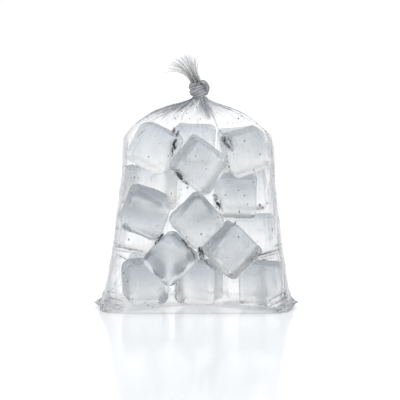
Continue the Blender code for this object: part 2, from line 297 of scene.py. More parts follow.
cube_names = sorted(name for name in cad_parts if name.startswith("ice_cube"))
cube_frames = {name: cube_frame(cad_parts[name].data) for name in cube_names}
print("cubes:", len(cube_frames), "mean edge:",
      round(float(np.mean([half for _, _, half in cube_frames.values()])) * 2 / MM, 2), "mm")

# %% The cube's surface
CUBE_CELLS = 22             # quads along each face's side


def unit_cube_grid(cells):
    """Points on the faces of a cube from -1 to 1, closer together near its edges.

    Two parameters run over each face from -1 to 1 as a sine does.  The six grids meet
    at the edges, where double points are taken out.
    """
    steps = np.sin(np.linspace(-0.5, 0.5, cells + 1) * math.pi * 0.86)
    steps /= steps[-1]
    u, v = np.meshgrid(steps, steps, indexing="ij")
    faces = []
    for axis in range(3):
        for side in (-1.0, 1.0):
            face = np.empty((cells + 1, cells + 1, 3))
            face[..., axis] = side
            face[..., (axis + 1) % 3] = v if side > 0 else u
            face[..., (axis + 2) % 3] = u if side > 0 else v
            faces.append(face.reshape(-1, 3))
    points = np.concatenate(faces)
    quads = grid_quads(cells + 1, cells + 1, False)
    quads = np.concatenate([quads + k * (cells + 1) ** 2 for k in range(6)])
    _, first, merged = np.unique(np.round(points, 6), axis=0, return_index=True, return_inverse=True)
    return points[first], merged.reshape(-1)[quads]


cube_points, cube_quads = unit_cube_grid(CUBE_CELLS)
print("one cube has", len(cube_quads), "quads")

# %% Melted cubes
MELTED_AWAY = 0.05 * MM     # taken off each face, so neighbours keep clear
EDGE_ROUNDING = (5.5 * MM, 8.5 * MM)
EDGE_START = 0.12           # how far a surface turns from a face before it counts as edge
SWELL = 1.0 * MM            # height of the slow waves
SWELL_LENGTH = (15 * MM, 34 * MM)
SWELL_WAVES = 5
INNER_CLEARNESS = 0.20      # how much clearer a cube is when its centre is behind the bag's middle
# some cubes froze clearer than the rest, and those with a number below nothing cloudier
CLEARER = {"ice_cube_01": -0.35, "ice_cube_04": -0.10, "ice_cube_05": -0.14, "ice_cube_07": 0.12,
           "ice_cube_09": 0.08, "ice_cube_10": -0.24, "ice_cube_11": 0.08, "ice_cube_14": -0.15,
           "ice_cube_15": -0.16}
melt_chance = np.random.default_rng(31)


def melted_cube(half, rounding, chance):
    """A rounded box with slow waves.

    Each grid point is drawn back to an inner box and pushed out from it by the
    rounding, along the line between the two.  Then it moves along that line by a sum
    of sine waves in random directions.
    """
    target = cube_points * half
    core = np.clip(target, rounding - half, half - rounding)
    outward = target - core
    outward /= np.linalg.norm(outward, axis=1, keepdims=True)
    lengths = chance.uniform(*SWELL_LENGTH, SWELL_WAVES)
    headings = chance.normal(size=(SWELL_WAVES, 3))
    headings *= (2 * math.pi / lengths / np.linalg.norm(headings, axis=1))[:, None]
    phases = chance.uniform(0, 2 * math.pi, SWELL_WAVES)
    waves = np.sin(target @ headings.T + phases).mean(axis=1)
    edge = np.clip((1.0 - np.abs(outward).max(axis=1)) / EDGE_START, 0, 1)
    return core + outward * (rounding + SWELL * (waves - 1.0))[:, None], edge


for name, (centre, axes, half) in cube_frames.items():
    rounding = melt_chance.uniform(*EDGE_ROUNDING)
    shape, edge = melted_cube(half - MELTED_AWAY + SWELL, rounding, melt_chance)
    cube = make_piece("melted_" + name, centre + shape @ axes, cube_quads, ice)
    # `low` paints light: paler towards the cube's foot, plus how much clearer the cube froze
    height = (shape @ axes)[:, 2]
    clearer = CLEARER.get(name, 0.0) + (INNER_CLEARNESS if centre[1] > 0 else 0.0)
    low = np.clip(0.60 - 1.2 * height / np.ptp(height) + clearer, 0, 1)
    for title, values in (("edge", edge), ("low", low)):
        attribute = cube.data.attributes.new(title, "FLOAT", "POINT")
        attribute.data.foreach_set("value", values.astype(np.float32))
    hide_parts(name)

print("melted cubes made")

# %% [markdown]
# ## The film's shape
#
# The bag is one tube of soft film.  Modelling it by hand would take many loops, so it
# is worked out: a table gives the bag's width, depth and squareness at a few heights,
# a smooth curve runs between them, and each height is one ring of points.  The film
# then sags in wherever no cube holds it out, and pleats run up to the tied neck.

# %% Rings of the bag
# height, half width, half depth, shift to the right and squareness, in millimetres
BODY_TABLE = np.array([
    (0.0, 80.4, 53.0, 0.2, 7.0), (1.4, 81.6, 57.0, 0.2, 6.6), (4.0, 82.2, 60.0, 0.2, 5.6),
    (9.0, 81.2, 61.6, 0.3, 4.8), (16.0, 79.4, 62.6, 0.4, 4.2), (30.0, 76.6, 62.6, 0.9, 4.0),
    (47.0, 74.0, 62.3, 1.2, 4.0), (64.0, 71.6, 61.9, 1.4, 4.0), (96.0, 67.8, 60.5, 1.8, 4.0),
    (125.0, 65.2, 58.7, 2.0, 4.0), (138.0, 64.4, 57.6, 1.8, 4.0), (145.0, 62.6, 56.4, 1.2, 3.8),
    (150.0, 58.2, 53.6, 1.0, 3.6), (155.0, 52.8, 50.2, 1.0, 3.4), (160.5, 46.2, 45.0, 1.0, 3.1),
    (165.0, 40.0, 39.0, 1.1, 2.8), (168.0, 34.0, 33.2, 1.3, 2.6), (171.0, 25.4, 24.4, 1.8, 2.3),
    (173.4, 15.8, 15.2, 2.5, 2.0), (175.6, 9.4, 9.0, 3.1, 2.0), (178.4, 6.2, 6.0, 3.4, 2.0)])
AROUND = 520                # points in a ring
BASE_RINGS = 22
WALL_RINGS = 350
TENT_START = 141.0
NECK = BODY_TABLE[-1, 0]


def smooth_rows(table, at):
    """Read a table's columns at any value of its first one, along smooth curves.

    Each stretch is a cubic that meets both its rows, with the slope there that the
    rows on either side give.
    """
    x, y = table[:, 0], table[:, 1:]
    slopes = np.gradient(y, x, axis=0)
    i = np.clip(np.searchsorted(x, at) - 1, 0, len(x) - 2)
    width = (x[i + 1] - x[i])[:, None]
    t = (at - x[i])[:, None] / width
    return (y[i] * (1 + 2 * t) * (1 - t) ** 2 + y[i + 1] * t ** 2 * (3 - 2 * t)
            + slopes[i] * width * t * (1 - t) ** 2 - slopes[i + 1] * width * t ** 2 * (1 - t))


def even_heights(table, count):
    """Heights spaced evenly along the bag's outline as seen from the front."""
    fine = np.linspace(table[0, 0], table[-1, 0], 4000)
    width = smooth_rows(table, fine)[:, 0]
    length = np.concatenate([[0.0], np.cumsum(np.hypot(np.diff(fine), np.diff(width)))])
    return np.interp(np.linspace(0, length[-1], count), length, fine)


heights = even_heights(BODY_TABLE, WALL_RINGS)
sizes = smooth_rows(BODY_TABLE, heights)
spread = np.linspace(0.0, 1.0, BASE_RINGS + 1)[1:-1] ** 0.9
base = np.tile(sizes[0], (len(spread), 1))
base[:, :2] *= spread[:, None]
sizes = np.concatenate([base, sizes])
levels = np.concatenate([np.zeros(len(spread)), heights])
bearing = np.arange(AROUND) * 2 * math.pi / AROUND - math.pi / 2


def superellipse(sizes, levels, bearing):
    """Rings of points whose distance from the middle follows a superellipse.

    At a bearing the distance is 1 over the nth root of |cos / width|^n + |sin / depth|^n.
    """
    wide, deep, shift, square = (sizes[:, k, None] for k in range(4))
    across, back = np.cos(bearing), np.sin(bearing)
    reach = (np.abs(across / wide) ** square + np.abs(back / deep) ** square) ** (-1 / square)
    up = np.broadcast_to(levels[:, None], reach.shape)
    return np.stack([shift + reach * across, reach * back, up], axis=-1)


film = superellipse(sizes, levels, bearing)

# the two bottom corners stick out as ears, where the flat bag's corners were
EAR_REACH, EAR_HEIGHT, EAR_DEPTH = 5.4, 2.4, 12.0      # millimetres
ear = np.exp(-((film[..., 2] - 2.0) / EAR_HEIGHT) ** 2 - (film[..., 1] / EAR_DEPTH) ** 2)
film[..., 0] += EAR_REACH * ear * np.clip(film[..., 0] / 60.0, -1, 1) ** 5
print("film grid:", film.shape[:2])


# %% Normals of a grid
def ring_normals(rings):
    """Outward normals of a closed grid of rings: around crossed with upward."""
    around = np.roll(rings, -1, axis=1) - np.roll(rings, 1, axis=1)
    upward = np.gradient(rings, axis=0)
    normals = np.cross(around, upward)
    return normals / np.maximum(np.linalg.norm(normals, axis=-1, keepdims=True), 1e-12)


def softened(values, rounds):
    """Average each value of a grid with its neighbours, round after round."""
    for _ in range(rounds):
        values = (values + np.roll(values, 1, axis=1) + np.roll(values, -1, axis=1)) / 3
        values[1:-1] = (values[:-2] + values[1:-1] + values[2:]) / 3
    return values


print("the normals' mean length is", round(float(np.linalg.norm(ring_normals(film), axis=-1).mean()), 3))

# %% Sagging between the cubes
SAG = 1.8                   # millimetres that the film falls in where nothing is near
SAG_REACH = 7.0             # clearance to a cube at which most of that has come
ROUNDED = 6.0               # how round the cubes' edges are taken to be


def clearance(points):
    """Distance from each point to the nearest cube, as rounded boxes, in millimetres."""
    nearest = np.full(points.shape[:-1], 1e9)
    for centre, axes, half in cube_frames.values():
        local = np.abs((points - centre / MM) @ axes.T) - half / MM + ROUNDED
        outside = np.linalg.norm(np.maximum(local, 0.0), axis=-1)
        inside = np.minimum(local.max(axis=-1), 0.0)
        nearest = np.minimum(nearest, outside + inside - ROUNDED)
    return nearest


room = softened(clearance(film), 6)
sag = SAG * (1 - np.exp(-np.maximum(room - 1.0, 0.0) / SAG_REACH))
upright = np.clip(levels / 14.0, 0, 1) * np.clip((TENT_START + 12 - levels) / 20.0, 0, 1)
film -= ring_normals(film) * (softened(sag, 10) * upright[:, None])[..., None]
print("film sags by up to", round(float((sag * upright[:, None]).max()), 2), "mm")

# %% [markdown]
# ## Pleats and creases
#
# Film can't stretch, so where the bag narrows to its neck the spare width folds into
# pleats, and where it was pulled about it keeps sharp creases.  Both are moves along
# the surface's normal: the pleats follow the bearing, and each crease is a sharp ridge
# along a short line.  The creases that the front shows are listed one by one, and the
# rest of the bag gets as many at random.

# %% Pleats of the tent
PLEAT_COUNTS = (9, 17, 31, 53)
pleat_chance = np.random.default_rng(8)
climb = np.clip((levels - TENT_START + 4) / (NECK - TENT_START), 0, 1)
pleats = np.zeros(AROUND)
for count in PLEAT_COUNTS:
    wander = 0.5 * np.sin(bearing * 2 + pleat_chance.uniform(0, 6.28))
    ridge = 1 - 2 * np.abs(np.sin(count * bearing / 2 + wander + pleat_chance.uniform(0, 6.28)))
    pleats += ridge / count ** 0.55
pleats /= np.abs(pleats).max()
PLEAT_DEPTH = 3.4           # millimetres where they are deepest
depth_up = PLEAT_DEPTH * np.interp(climb, [0, 0.3, 0.7, 0.9, 1.0], [0.0, 0.25, 0.8, 1.0, 0.55])
film -= ring_normals(film) * (depth_up[:, None] * (0.5 - 0.5 * pleats[None, :]))[..., None]

# %% Where the creases lie
# across and up as the camera sees them, from one end to the other, then height, width
# and the darkness of the painted shade, all in millimetres but the last
FRONT_CREASES = np.array([
    # shoulders
    (-51.0, 151.5, -43.5, 158.0, 0.7, 0.6, 0.9), (-49.0, 140.5, -41.5, 147.5, 0.8, 0.7, 0.8),
    (53.0, 151.0, 65.5, 140.0, 0.8, 0.6, 0.8), (56.0, 149.0, 63.0, 136.0, 0.7, 0.6, 0.7),
    (50.0, 152.0, 55.0, 128.0, 0.6, 0.7, 0.3),
    # sides
    (-71.0, 51.0, -40.0, 45.9, -1.0, 1.0, 1.1), (-70.6, 47.6, -47.6, 45.1, 0.9, 0.7, 0.9),
    (-68.0, 44.2, -55.3, 38.7, -1.2, 0.8, 1.1), (-71.5, 54.0, -58.0, 50.0, 0.8, 0.6, 0.9),
    (40.0, 40.0, 73.1, 48.5, -1.2, 1.0, 1.2), (40.8, 38.3, 72.3, 45.9, 1.0, 0.7, 0.8),
    (45.9, 36.1, 62.9, 40.8, -0.9, 0.7, 1.1), (64.0, 50.0, 74.0, 52.5, 0.8, 0.7, 1.0),
    # bottom corners
    (56.1, 3.4, 78.2, 14.0, 1.0, 0.7, 0.9), (58.7, 0.0, 79.9, 10.2, 1.0, 0.7, 0.9),
    (52.7, -2.6, 75.7, 6.8, 1.0, 0.7, 0.8), (64.6, -4.3, 79.9, 2.6, 1.0, 0.7, 1.2),
    (-79.1, 8.9, -60.4, 5.1, 1.0, 0.7, 0.9), (-78.2, 5.1, -58.7, 0.0, 1.0, 0.7, 0.8),
    (-74.8, 1.7, -59.5, -3.8, 1.0, 0.7, 0.8), (-79.0, 13.5, -62.0, 10.5, 0.8, 0.7, 0.6),
    # from the neck down over the tent
    (-2.0, 175.0, -33.0, 160.5, 0.9, 1.2, 0.55), (-3.5, 173.5, -15.5, 163.0, 0.8, 0.8, 0.70),
    (-2.5, 171.5, -6.5, 165.5, 0.8, 0.8, 0.80), (5.0, 176.0, 11.0, 157.5, 0.9, 1.6, 0.70),
    (-6.5, 171.0, -16.0, 146.0, 0.6, 0.8, 0.45), (8.0, 172.0, 22.0, 139.0, 0.6, 0.8, 0.60),
    (10.0, 170.0, 18.0, 150.0, 0.6, 0.7, 0.50), (12.0, 170.0, 34.0, 163.0, 0.5, 0.6, 0.35),
    (11.0, 166.0, 30.0, 154.0, 0.5, 0.5, 0.30), (28.0, 165.0, 50.0, 153.0, 0.5, 0.6, 0.35),
    (-22.0, 163.0, -40.0, 154.0, 0.5, 0.6, 0.45), (-33.0, 165.0, -52.0, 152.0, 0.5, 0.7, 0.45),
    # wet folds pressed against the edges of cubes, with painted shade and painted light lines
    (-18.3, 141.1, -17.4, 149.6, 0.6, 1.3, 1.6), (-16.2, 140.3, -13.6, 147.1, 0.8, 1.0, 1.7),
    (-17.4, 129.9, -16.2, 140.0, 0.8, 2.2, 2.4), (-19.2, 124.4, -18.4, 135.2, 0.6, 1.6, 1.5),
    (-18.3, 114.9, -10.1, 103.6, 0.8, 2.0, 2.4), (-12.8, 106.3, -5.5, 101.2, 0.8, 1.0, 1.6),
    (20.8, 144.7, 25.0, 133.8, 0.6, 2.6, 1.5), (20.0, 139.6, 30.8, 128.4, 0.8, 2.4, 1.4),
    (24.4, 143.8, 31.4, 131.3, 0.6, 2.0, 1.2), (25.5, 145.4, 34.9, 131.8, 0.8, 0.6, 0.5),
    (14.0, 94.2, 20.2, 80.5, 0.8, 1.8, 3.0), (17.9, 89.3, 22.1, 79.1, 0.6, 1.1, 1.3),
    (3.4, 95.2, 17.9, 76.5, 0.8, 0.6, 0.5), (-34.0, 51.7, -26.2, 61.8, 0.8, 1.4, 2.6),
    (-12.8, 57.8, -2.6, 45.9, 0.8, 1.3, 2.3), (-5.1, 49.3, 0.4, 39.1, 0.8, 0.9, 1.5),
    (-10.2, 58.7, -0.9, 48.5, 0.6, 0.6, 0.7), (2.4, 50.8, 4.8, 38.9, 0.8, 1.9, 3.2),
    (4.3, 41.7, 16.2, 30.6, 0.8, 1.4, 1.3), (6.8, 40.0, 11.0, 34.9, 0.6, 1.6, 1.2)])

# layers lying together, as pale veils from the neck: the same, with width and amount
VEILS = ((-1.0, 178.5, -42.0, 158.5, 1.8, 1.10), (-1.0, 175.5, -30.0, 158.0, 1.3, 0.90),
         (-2.0, 174.5, -17.0, 162.0, 1.6, 0.80), (3.0, 181.0, 11.5, 155.5, 3.2, 1.60),
         (7.0, 174.0, 30.0, 165.0, 4.5, 0.40), (8.0, 170.0, 62.0, 148.0, 9.0, 0.20),
         (-6.0, 166.0, -40.0, 150.0, 7.0, 0.16), (4.0, 164.0, 16.0, 138.0, 6.0, 0.18))
print("creases listed:", len(FRONT_CREASES), "and veils:", len(VEILS))

# %% One crease
FOLD_LINE = 1.1             # millimetres between the painted light and dark lines that run along a fold
FOLD_RUN = 7.0              # and the length over which they change


def crease(points, start, end, height, width, right=1.0):
    """How far one crease lifts points, given as two coordinates.

    The lift falls off from the line as e to the minus distance over width, and fades
    to nothing at both ends of the line.  On the right of the line it falls off
    `right` times as fast.
    """
    line = np.subtract(end, start)
    length = np.linalg.norm(line)
    along = ((points - start) @ line) / length ** 2
    away = np.linalg.norm(points - start - np.clip(along, 0, 1)[..., None] * line, axis=-1)
    on_right = (points - start) @ np.array([line[1], -line[0]]) > 0
    away = np.where(on_right, away * right, away)
    fade = np.sin(np.clip(along, 0, 1) * math.pi) ** 0.6
    return height * np.exp(-away / width) * fade


def fold_place(points, start, end):
    """Distance across a fold's line and along it, as counts of its fine lines."""
    line = np.subtract(end, start)
    line = line / np.linalg.norm(line)
    across, along = (points - start) @ np.array([-line[1], line[0]]), (points - start) @ line
    return np.stack([across / FOLD_LINE + 0.7 * np.sin(along * 0.9), along / FOLD_RUN], axis=-1)


def as_seen(points):
    """Where points lie in the camera's view: across, and up from the floor's middle."""
    up = points[..., 2] * math.cos(VIEW_ELEVATION) + points[..., 1] * math.sin(VIEW_ELEVATION)
    return np.stack([points[..., 0], up], axis=-1)


print("the film as seen reaches up to", round(float(as_seen(film)[..., 1].max()), 1), "mm")

# %% Creases that the front shows
PAINTED_MARK_WIDTH = 2.6                 # millimetres, width of the painted light and dark marks where no fold is
FOLD_EDGE = 3.0             # how much faster a fold's painted shadow ends on its right
SLICE_STEP = 5.0            # sets each fold's painted marks apart from the next one's
facing = film[..., 1] < 0
lift = np.zeros(film.shape[:2])
front_view = as_seen(film)
# `dark` holds painted shade on the film, and `fold` where its painted light and dark lines run
dark = np.zeros(film.shape[:2])
fold = film / PAINTED_MARK_WIDTH
# each listed crease lifts the film, and paints shade along it
for x0, z0, x1, z1, height, width, darkness in FRONT_CREASES:
    lift += height * crease(front_view, (x0, z0), (x1, z1), 1.0, width) * facing
    shadow = darkness * crease(front_view, (x0, z0), (x1, z1), 1.0, width, FOLD_EDGE) * facing
    nearest = shadow > np.maximum(dark, 0.02)
    fold[nearest, :2] = fold_place(front_view[nearest], (x0, z0), (x1, z1))
    fold[nearest, 2] = SLICE_STEP * x0
    dark = np.maximum(dark, shadow)
veil = sum(amount * crease(front_view, (x0, z0), (x1, z1), 1.0, width)
           for x0, z0, x1, z1, width, amount in VEILS)
print("the film is darkened over", round(100 * float((dark > 0.3).mean()), 1), "% of its points")

# %% Creases at random
crease_chance = np.random.default_rng(21)
RANDOM_CREASES = 150
MEAN_RADIUS = 70.0          # millimetres, which makes a bearing a length round the bag
unrolled = np.stack([np.broadcast_to(bearing * MEAN_RADIUS, film.shape[:2]), film[..., 2]], axis=-1)
for _ in range(RANDOM_CREASES):
    middle = np.array([crease_chance.uniform(-110, 330), crease_chance.uniform(2, 165)])
    lean = crease_chance.uniform(-0.9, 0.9)
    reach = crease_chance.uniform(4, 17)
    step = np.array([math.cos(lean), math.sin(lean)]) * reach / 2
    height = crease_chance.uniform(0.25, 0.75) * crease_chance.choice([-1, 1])
    ridge = crease(unrolled, middle - step, middle + step, 1.0, crease_chance.uniform(0.6, 1.2))
    lift += height * ridge
    # each crease paints shade along its ridge
    dark = np.maximum(dark, 0.5 * abs(height) * ridge)
print("random creases:", RANDOM_CREASES)

# %% Crumpled bottom corners
# ridges in every direction, strongest at the two tips
CRUMPLE = 0.91              # millimetres
CRUMPLE_SIZES = (9.0, 6.0, 4.2, 3.0)
CRUMPLE_PAINTED_SHADE = 1.35
FOLD_SHARPNESS = 0.16       # how far a fold's painted dark line reaches, as a share of its wave
CORNER_START, CORNER_REACH = 58.0, 24.0     # from the middle outwards
CORNER_TOP, CORNER_FADE = 17.0, 14.0        # and from the top down
outwards = np.clip((np.abs(film[..., 0]) - CORNER_START) / CORNER_REACH, 0, 1)
corner = outwards * np.clip((CORNER_TOP - film[..., 2]) / CORNER_FADE, 0, 1)
crumple_chance = np.random.default_rng(4)
crumple = np.zeros(film.shape[:2])
sharp = np.zeros(film.shape[:2])
for size in CRUMPLE_SIZES:
    for _ in range(3):
        heading = crumple_chance.normal(size=3)
        heading *= 2 * math.pi / size / np.linalg.norm(heading)
        bend = crumple_chance.normal(size=3) * 2 * math.pi / 26.0
        wave = film @ heading + 1.6 * np.sin(film @ bend + crumple_chance.uniform(0, 6.28))
        rise = np.abs(np.sin(wave / 2 + crumple_chance.uniform(0, 3.14)))
        crumple += (1 - 2 * rise) * size / 22.0
        sharp = np.maximum(sharp, np.exp(-rise / FOLD_SHARPNESS) * size / CRUMPLE_SIZES[0])
lift += CRUMPLE * crumple * corner
# painted dark and light lines along the corners' sharp folds
dark = np.maximum(dark, CRUMPLE_PAINTED_SHADE * corner * sharp)

# %% Creased film
FOOT = 0.05                 # millimetres, the least height of the film over the floor
FOOT_PAINTED_SHADE, FOOT_LINE = 0.9, 0.6         # a thin line of painted shade all round the foot
standing = np.clip(film[..., 2] / 1.5, 0, 1)
film += ring_normals(film) * (lift * standing)[..., None]
film[..., 2] = np.maximum(film[..., 2], FOOT)
rim = np.arange(len(film))[:, None] >= BASE_RINGS
dark = np.maximum(dark, FOOT_PAINTED_SHADE * rim * np.exp(-film[..., 2] / FOOT_LINE))
print("creases lift the film by up to", round(float(lift.max()), 2), "mm")

# %% Clear of the cubes
LEAST_GAP = 0.5             # millimetres between the film and a cube
for _ in range(3):
    short = np.maximum(LEAST_GAP - clearance(film), 0.0)
    film += ring_normals(film) * (softened(short * 1.3, 3) * standing)[..., None]
print("least gap to a cube:", round(float(clearance(film)[levels > 1.0].min()), 2), "mm")

# %% [markdown]
# ## Clear film
#
# Polyethylene film is clear seen straight on.  Seen along its surface, or folded many
# times over, it turns a milky grey.  Where a wet fold presses on a cube it bends the light
# away and looks nearly black, with bright lines in it, and that is painted shade with
# painted light and dark lines.  So the finish mixes nothing at all with a soft gloss, and
# the share of the gloss grows where the film turns away from us, where it is gathered and
# where shade is painted, which attributes on the mesh say.

# %% Film material
PAINTED_SHADE_PATCH = 3.6 * MM        # width of the patches where a wet fold's painted shade shows
TURN_START = 0.45           # how far film has to turn away from us before its gloss changes
FAINTEST = 0.15             # the share of that gloss where the outline hardly shows


def film_material(name, streak_width, straight_on, edge_on,
                  pale="#c6c8ce", dark="#999da3", roughness=0.16):
    """Film that mixes nothing at all with a soft gloss.

    The gloss's share goes from `straight_on` to `edge_on` as the film turns away from
    us, and the mesh's attributes change it.  `gather` says how many layers lie
    together, and shows as streaks along the pleats.  `dark` says where shade is painted
    on, for a wet fold that bends the light away from us, with painted light and dark lines
    that follow `fold`, and `faint` where the film's outline hardly shows.
    """
    material, tree, output = new_material(name)

    def attribute(title, socket="Fac"):
        return add_node(tree, "ShaderNodeAttribute", {"attribute_name": title}).outputs[socket]

    def ramp(value, low, high, start=0.0, end=1.0, curve="LINEAR"):
        return add_node(tree, "ShaderNodeMapRange", {"interpolation_type": curve}, _0=value,
                        _1=low, _2=high, _3=start, _4=end).outputs["Result"]

    def noise(vector, width, detail):
        return add_node(tree, "ShaderNodeTexNoise", Vector=vector, Scale=1 / width,
                        Detail=detail).outputs["Fac"]

    def maths(operation, first, second):
        return add_node(tree, "ShaderNodeMath", {"operation": operation, "use_clamp": True},
                        _0=first, _1=second).outputs["Value"]

    lines = attribute("pleat", "Vector")
    place = add_node(tree, "ShaderNodeTexCoord").outputs["Object"]
    facing = add_node(tree, "ShaderNodeLayerWeight", Blend=0.5).outputs["Facing"]
    turned = maths("MULTIPLY", ramp(facing, TURN_START, 1.0, straight_on, edge_on, "SMOOTHSTEP"),
                   ramp(attribute("faint"), 0.0, 1.0, 1.0, FAINTEST))
    stacked = maths("MULTIPLY", attribute("gather"), ramp(noise(lines, streak_width, 3.0), 0.38, 0.66, 0.3))
    # painted shade where a wet fold lies, broken into patches
    painted_fold_shade = maths("MULTIPLY", attribute("dark"), ramp(noise(place, PAINTED_SHADE_PATCH, 2.0), 0.24, 0.44))
    share = maths("ADD", maths("ADD", turned, stacked), painted_fold_shade)
    shade = add_node(tree, "ShaderNodeMix", {"data_type": "RGBA"},
                     _0=ramp(noise(lines, streak_width / 0.6, 2.0), 0.42, 0.60),
                     _6=linear(dark), _7=linear(pale)).outputs[2]
    # painted light and dark lines along the folds, from near black to near white
    painted_glint_and_shade = add_node(tree, "ShaderNodeMix", {"data_type": "RGBA"},
                     _0=ramp(noise(attribute("fold", "Vector"), 1.0, 2.0), 0.50, 0.68),
                     _6=linear("#101214"), _7=linear("#e4e7e9")).outputs[2]
    shade = add_node(tree, "ShaderNodeMix", {"data_type": "RGBA"}, _0=painted_fold_shade, _6=shade, _7=painted_glint_and_shade).outputs[2]
    clear = add_node(tree, "ShaderNodeBsdfTransparent", Color=linear("#ffffff")).outputs["BSDF"]
    gloss = add_node(tree, "ShaderNodeBsdfPrincipled", **{
        "Base Color": shade, "Roughness": roughness, "IOR": 1.51}).outputs["BSDF"]
    add_node(tree, "ShaderNodeMixShader", _0=share, _1=clear, _2=gloss)
    tree.links.new(tree.nodes[-1].outputs["Shader"], output.inputs["Surface"])
    return material


body_film = film_material("polyethylene film, clear", 0.03, 0.02, 0.38)
wet_film = film_material("polyethylene film, wet underside", 0.03, 0.0, 0.05)


# %% The body of the bag
def ring_piece(name, rings, material, looks, capped):
    """A piece from rings in millimetres, closed at its first ring if capped.

    `looks` holds arrays over the rings, numbers or vectors, which the piece keeps as
    attributes for its finish.
    """
    rows, columns = rings.shape[:2]
    points = rings.reshape(-1, 3) * MM
    quads = grid_quads(rows, columns, True)
    if capped:
        middle = np.full(columns, len(points))
        step = np.arange(columns)
        quads = np.concatenate([quads, np.stack([(step + 1) % columns, step, middle, middle], axis=1)])
        points = np.concatenate([points, rings[0].mean(axis=0, keepdims=True) * MM])
    piece = make_piece(name, points, quads, material)
    for title, values in looks.items():
        kind, field = ("FLOAT_VECTOR", "vector") if values.ndim == 3 else ("FLOAT", "value")
        flat = np.zeros((len(points), 3 if values.ndim == 3 else 1), np.float32)
        flat[:rows * columns] = values.reshape(rows * columns, -1)
        piece.data.attributes.new(title, kind, "POINT").data.foreach_set(field, flat.ravel())
    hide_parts("bag")
    print(name, "has", len(quads), "quads")
    return piece


across_body = film[..., 0] / sizes[:, :1]
tent = np.interp(levels, [140, 152], [0, 1])[:, None]
side = np.clip((np.abs(across_body) - 0.78) / 0.20, 0, 1) * (1 - tent)
SIDE_LAYERS = 0.45          # loose film lies double along the bag's two sides
fewer_right = 1 - tent * np.interp(film[..., 0] - 3.4, [0, 8], [0.0, 0.5])     # of the neck
GATHER_TABLE = np.array([   # height in millimetres, and how much film lies together there
    (0, 0.0), (8, 0.0), (12, 0.08), (148, 0.08), (154, 0.16), (166, 0.24), (172, 0.45), (178, 0.80)])
gathered = np.interp(levels, GATHER_TABLE[:, 0], GATHER_TABLE[:, 1])[:, None] * fewer_right
looks = {
    "gather": gathered + SIDE_LAYERS * side * (1 - corner) + veil * facing,
    # painted shade, with painted light and dark lines
    "dark": dark,
    "faint": np.maximum(tent * np.interp(film[..., 0], [-20, 20], [0.35, 0.8]), 0.75 * corner),
    "pleat": np.stack(np.broadcast_arrays(bearing, levels[:, None] / 400.0, 0.0), axis=-1),
    # where the painted light and dark lines run
    "fold": fold}
UPPER_START = BASE_RINGS + WALL_RINGS // 2
for name, start, end, finish in (("bag_underside", 0, BASE_RINGS - 1, wet_film),
                                 ("bag_lower", BASE_RINGS - 1, UPPER_START, body_film),
                                 ("bag_upper", UPPER_START, len(film) - 1, body_film)):
    part = slice(start, end + 1)
    own = {title: values[part] for title, values in looks.items()}
    ring_piece(name, film[part], finish, own, capped=start == 0)

# %% [markdown]
# ## The knot
#
# Above the tent the bag's whole girth is gathered into a strand as thick as a finger,
# and the strand is tied round itself.  A fluted section swept along a path makes both:
# straight up for the neck, and round and round, a little higher each time, for the knot.

# %% Sweeping a section
def sweep(path, reference, high, thick, folds, depth, count=96):
    """Rings along a path, in millimetres: ellipses with folds along the strand.

    The half size `thick` lies square to the path and the reference, and `high` square
    to the path and `thick`.  The folds draw the edge in by the share `depth`.
    """
    ahead = np.gradient(path, axis=0)
    ahead /= np.linalg.norm(ahead, axis=1, keepdims=True)
    side = np.cross(reference, ahead)
    side /= np.linalg.norm(side, axis=1, keepdims=True)
    upper = np.cross(ahead, side)
    angle = np.arange(count) * 2 * math.pi / count
    along = np.linspace(0, 1, len(path))[:, None]
    waves = np.abs(np.sin(folds / 2 * (angle + 0.5 * np.sin(angle + 5 * along) + 1.5 * along)))
    reach = 1 - depth * (1 - waves ** 0.7)
    sideways = (thick[:, None] * reach * np.cos(angle))[..., None] * side[:, None]
    upright = (high[:, None] * reach * np.sin(angle))[..., None] * upper[:, None]
    return path[:, None] + sideways + upright


def strand_piece(name, rings, material, gather):
    """A swept strand with its pleat coordinates: around the strand and along it."""
    rows, columns = rings.shape[:2]
    around, along = np.meshgrid(np.arange(columns) / columns * 6.0, np.arange(rows) / rows)
    pleat = np.stack([np.abs(around - 3.0), along * 0.8, np.zeros_like(along)], axis=-1)
    looks = {"gather": np.full((rows, columns), gather), "pleat": pleat}
    return ring_piece(name, rings, material, looks, True)


# %% Neck and knot
KNOT_FOOT = np.array([3.4, 0.0, 178.0])
KNOT_LEAN = math.radians(-17.0)     # the knot's own axis leans to the left
KNOT_RISE = 10.5            # millimetres from the first turn to the last
KNOT_TURNS = 2.25
KNOT_RADIUS = 5.3           # to the middle of the strand
STRAND_HIGH, STRAND_THICK = 3.5, 2.6
knot_axis = np.array([math.sin(KNOT_LEAN), 0.0, math.cos(KNOT_LEAN)])
knot_right = np.array([math.cos(KNOT_LEAN), 0.0, -math.sin(KNOT_LEAN)])
knot_back = np.array([0.0, 1.0, 0.0])

t = np.linspace(0, 1, 260)
turn = (t * KNOT_TURNS - 0.55) * 2 * math.pi
tuck = np.clip(np.minimum(t, 1 - t) / 0.12, 0, 1) ** 0.5
radius = KNOT_RADIUS * (0.35 + 0.65 * tuck) * (1 + 0.08 * np.sin(turn * 0.5 + 1.0))
coil = (KNOT_FOOT + knot_axis * (t * KNOT_RISE)[:, None]
        + knot_right * (radius * np.cos(turn))[:, None] + knot_back * (radius * np.sin(turn))[:, None])
swell = 0.55 + 0.45 * tuck + 0.10 * np.sin(turn * 1.7)
knot_film = film_material("polyethylene film, knotted", 0.09, 0.86, 0.40, "#dcdce2", "#66676b", 0.34)
turns = sweep(coil, knot_axis, STRAND_HIGH * swell, STRAND_THICK * swell, 7, 0.24)
strand_piece("knot_turns", turns, knot_film, 0.5)

